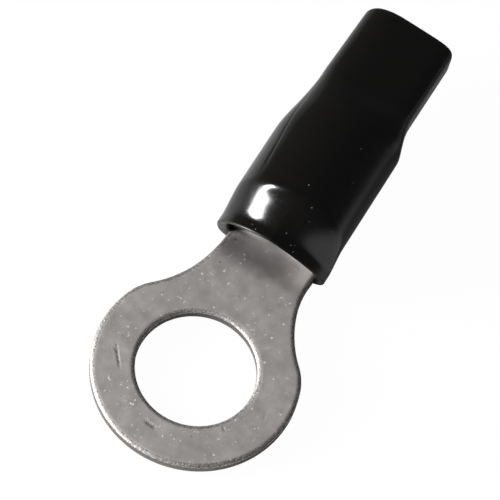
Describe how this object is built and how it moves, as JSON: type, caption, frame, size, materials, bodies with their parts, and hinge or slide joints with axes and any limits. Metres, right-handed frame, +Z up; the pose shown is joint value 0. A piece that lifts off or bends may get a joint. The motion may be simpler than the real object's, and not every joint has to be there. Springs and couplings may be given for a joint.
{
  "type": "ring terminal",
  "caption": "Ring terminal: a flat tinned ring on a tongue that folds up into a round wire barrel, with a soft black insulating boot over the barrel.",
  "frame": {"origin": "the stud hole's axis at the tongue's underside", "axes": "+X from the stud hole towards the cable end, +Z up through the stud hole to the side on which the barrel stands"},
  "size_m": [0.0453, 0.0182, 0.0106],
  "materials": {
    "tinned_copper": "satin, tin plated",
    "black_pvc": "glossy, soft"
  },
  "bodies": {
    "root": {"ring_terminal": "tinned_copper", "insulating_boot": "black_pvc"}
  },
  "joints": []
}
